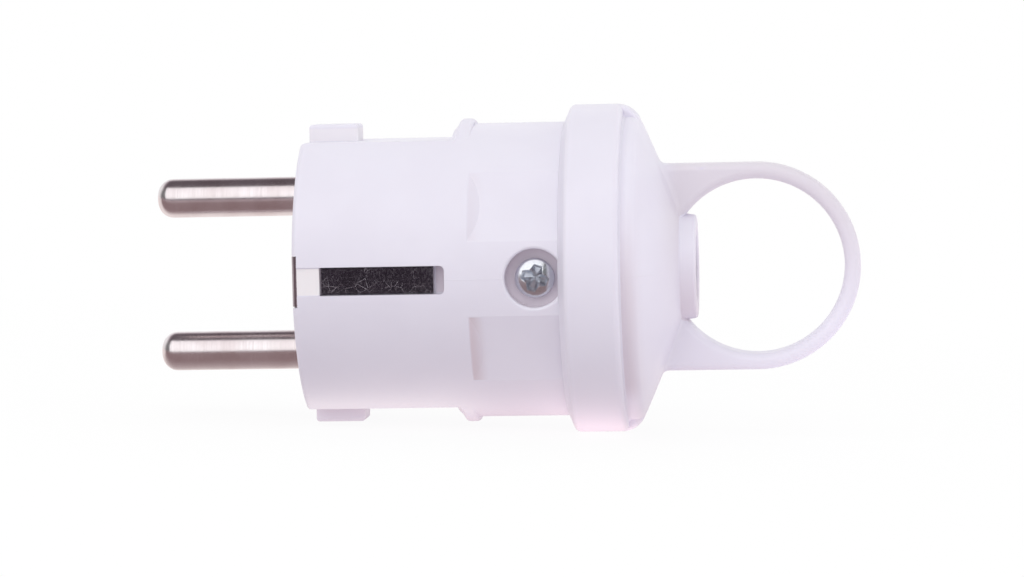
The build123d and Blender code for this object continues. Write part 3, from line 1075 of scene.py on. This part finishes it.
@dataclass
class PhotoCamera:
    """The camera, where the reference picture was taken from."""

    azimuth: float = 5.09
    elevation: float = 3.97
    roll: float = -1.28
    distance: float = 449.0 * MM
    pixels_per_mm: float = 8.116
    target: Triple = (24.71 * MM, 0.0, -2.38 * MM)
    sensor: float = 36.0
    clip_ratio: float = 100.0

    def build(self) -> None:
        """Makes the camera and gives it to the scene."""
        turn, roll = math.radians(self.azimuth), math.radians(self.roll)
        back = bearing(self.azimuth, self.elevation)
        right = Vector((math.cos(turn), math.sin(turn), 0.0))
        up = back.cross(right)
        across = math.cos(roll) * right + math.sin(roll) * up
        above = math.cos(roll) * up - math.sin(roll) * right
        data = bpy.data.cameras.new("photo_camera")
        data.sensor_width = self.sensor
        data.lens = self.sensor * self.pixels_per_mm * self.distance / MM / IMAGE_WIDTH
        data.clip_start = self.distance / self.clip_ratio
        data.clip_end = self.distance * self.clip_ratio
        camera = bpy.data.objects.new("photo_camera", data)
        facing = Matrix((across, above, back)).transposed().to_4x4()
        camera.matrix_world = Matrix.Translation(Vector(self.target) + back * self.distance) @ facing
        bpy.context.scene.collection.objects.link(camera)
        bpy.context.scene.camera = camera


@dataclass
class Studio:
    """White floor and backdrop, one large soft lamp in front and a dim room around the camera.

    The floor shows white. What it throws back onto the plug, and what the plug mirrors of it, is shaped by the ramps.
    They are in millimetres on the floor, and the room's sides are ranges of a unit vector.
    """

    floor_half: float = 1.5
    key_foot: float = 0.8 * MM
    key_end: float = 8.0 * MM
    flange_foot: float = 33.4 * MM
    floor_card: Triple = (0.9, 0.9, 0.9)
    shadow_share: float = 0.10
    shadow_reach: tuple[float, float] = (0.06, 0.22)
    floor_bounce: Triple = (0.66, 0.615, 0.65)
    floor_strip: Triple = (1.6, 1.35, 1.38)
    floor_rim: Triple = (1.36, 1.27, 1.22)
    floor_right: Triple = (1.22, 1.16, 1.24)
    floor_mirror: tuple[Triple, Triple] = ((0.29, 0.205, 0.21), (1.0, 0.92, 0.90))
    floor_far_mirror: Triple = (0.05, 0.04, 0.055)
    floor_glint: Triple = (0.60, 0.49, 0.51)
    strip_ramps: tuple[Ramp, ...] = (
        ("Y", -22.0, -5.0), ("Y", -3.0, 0.0, 1.0, 0.4), ("X", 6.0, 10.0, 0.5, 1.0), ("X", 26.0, 34.0, 0.55, 1.0),
        ("X", 38.0, 44.0, 1.0, 0.2),
    )
    rim_ramps: tuple[Ramp, ...] = (
        ("Y", -14.0, -11.0), ("Y", -9.0, -6.0, 1.0, 0.0), ("X", -6.0, -1.0), ("X", 18.0, 24.0, 1.0, 0.0)
    )
    right_ramp: Ramp = ("X", 40.0, 70.0)
    behind_ramp: Ramp = ("Y", -8.0, 14.0)
    near_ramp: Ramp = ("Y", -170.0, -40.0)
    glint_ramps: tuple[Ramp, ...] = (("Y", -160.0, -120.0), ("Y", -110.0, -45.0, 1.0, 0.0))
    lamp_distance: float = 0.85
    lamp_elevation: float = 32.5
    lamp_azimuth: float = -18.0
    lamp_size: tuple[float, float] = (1.3, 1.08)
    lamp_power: float = 4.95
    lamp_target: Triple = (20.0 * MM, 0.0, 0.0)
    room_sides: tuple[Ramp, ...] = (("Y", -0.05, 0.45), ("X", 0.6, 0.9), ("Z", 0.45, 0.85))
    room_light: tuple[float, float, float, float] = (0.21, 1.0, 1.08, 1.05)
    room_mirror: tuple[float, float, float, float] = (0.19, 1.0, 1.0, 0.11)
    ceiling_tint: Triple = (1.0, 0.78, 0.9)

    def build(self) -> None:
        """Makes the floor, the lamp and the room."""
        bpy.context.scene.view_settings.view_transform = "Standard"
        self.floor()
        self.lamp()
        self.room()

    def floor(self) -> None:
        """Lays the floor under the guide key and the flange."""
        nose = bpy.data.objects["front_body"].data.vertices
        key_low = min(vertex.co.z for vertex in nose if vertex.co.x < self.key_end)
        flange_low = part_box("rear_cover")[0][2]
        slope = (flange_low - key_low) / (self.flange_foot - self.key_foot)
        shape = bmesh.new()
        corners = []
        for x, y in ((-1, -1), (1, -1), (1, 1), (-1, 1)):
            height = key_low + slope * (x * self.floor_half - self.key_foot)
            corners.append(shape.verts.new((x * self.floor_half, y * self.floor_half, height)))
        shape.faces.new(corners)
        floor = object_from(shape, "floor")
        if floor.data.polygons[0].normal.z < 0.0:
            floor.data.flip_normals()
        floor.data.materials.append(self.floor_material())

    def floor_material(self) -> bpy.types.Material:
        """Lit white table that keeps a soft shadow and runs into the backdrop.

        Returns:
            The material.
        """
        material = bpy.data.materials.new("floor_table")
        material.use_nodes = True
        sheet = Sheet(material.node_tree)
        sheet.tree.nodes.remove(sheet.tree.nodes["Principled BSDF"])
        where = sheet.add("TexCoord").outputs["Object"]
        path = sheet.add("LightPath").outputs
        axes = sheet.axes(where)

        reach = sheet.join("VectorMath", {0: where}, operation="LENGTH").node.outputs["Value"]
        lit = sheet.ramp(reach, *self.shadow_reach, 1.0 - self.shadow_share, 1.0)
        card = sheet.join("BsdfDiffuse", {"Color": self.floor_card})
        shown = sheet.join("MixShader", {0: lit, 1: card, 2: sheet.join("Emission", {})})

        bounce = sheet.mix(sheet.ramps(axes, *self.strip_ramps), self.floor_bounce, self.floor_strip)
        bounce = sheet.mix(sheet.ramps(axes, *self.rim_ramps), bounce, self.floor_rim)
        bounce = sheet.mix(sheet.ramps(axes, self.right_ramp), bounce, self.floor_right)
        mirror = sheet.mix(sheet.ramps(axes, self.behind_ramp), *self.floor_mirror)
        mirror = sheet.mix(sheet.ramps(axes, self.near_ramp), self.floor_far_mirror, mirror)
        mirror = sheet.mix(sheet.ramps(axes, *self.glint_ramps), mirror, self.floor_glint)
        glow = sheet.join("Emission", {"Color": sheet.mix(path["Is Glossy Ray"], bounce, mirror)})
        surface = sheet.join("MixShader", {0: path["Is Camera Ray"], 1: glow, 2: shown})
        sheet.feed(sheet.tree.nodes["Material Output"], "Surface", surface)
        return material

    def lamp(self) -> None:
        """Hangs the soft lamp in front of the plug, above the camera."""
        data = bpy.data.lights.new("soft_box", "AREA")
        data.shape = "RECTANGLE"
        data.size, data.size_y = self.lamp_size
        data.energy = self.lamp_power
        lamp = bpy.data.objects.new("soft_box", data)
        towards = bearing(self.lamp_azimuth, self.lamp_elevation)
        lamp.location = towards * self.lamp_distance + Vector(self.lamp_target)
        lamp.rotation_mode = "QUATERNION"
        lamp.rotation_quaternion = towards.to_track_quat("Z", "Y")
        lamp.visible_camera = False
        bpy.context.scene.collection.objects.link(lamp)

    def room(self) -> None:
        """Puts a white backdrop behind and to the right of the plug, a ceiling and a dim room in front."""
        world = bpy.data.worlds.new("studio_room")
        world.use_nodes = True
        sheet = Sheet(world.node_tree)
        path = sheet.add("LightPath").outputs
        axes = sheet.axes(sheet.add("TexCoord").outputs["Generated"])
        masks = tuple(sheet.ramp(axes[axis], start, end) for axis, start, end in self.room_sides)
        light = self.directed(sheet, masks, self.room_light)
        mirror = self.directed(sheet, masks, self.room_mirror)
        level = sheet.blend(path["Is Glossy Ray"], light, mirror)
        background = sheet.tree.nodes["Background"]
        tinted = sheet.product(path["Is Glossy Ray"], masks[-1])
        sheet.feed(background, "Color", sheet.mix(tinted, (1.0, 1.0, 1.0), self.ceiling_tint))
        sheet.feed(background, "Strength", sheet.blend(path["Is Camera Ray"], level, 1.0))
        bpy.context.scene.world = world

    @staticmethod
    def directed(sheet: Sheet, masks: tuple[Socket, ...], levels: tuple[float, ...]) -> Socket:
        """Light level of the room in each direction.

        Args:
            sheet: The world's tree.
            masks: Masks of the backdrop, the right side and the ceiling.
            levels: Levels of the dim front, and of each mask's side.

        Returns:
            The level.
        """
        level = levels[0]
        for mask, side in zip(masks, levels[1:]):
            level = sheet.blend(mask, level, side)
        return level


def main() -> None:
    """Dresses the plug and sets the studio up."""
    logging.basicConfig(level=logging.INFO, format="%(name)s: %(message)s")
    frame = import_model()
    dress(frame, NOSE_WHITE, "front_body")
    dress(frame, COVER_WHITE, "rear_cover")
    dress(frame, PIN_NICKEL, "live_pin", "neutral_pin")
    dress(frame, EARTH_NICKEL, "earth_strap")
    dress(frame, TERMINAL_BRASS, "earth_terminal")
    dress(frame, HOLDER_GREY, "contact_holder", "cord_clamp")
    dress(frame, SCREW_ZINC, "clamp_washers")
    Fasteners().build()
    Studio().build()
    PhotoCamera().build()


if __name__ == "__main__":
    main()
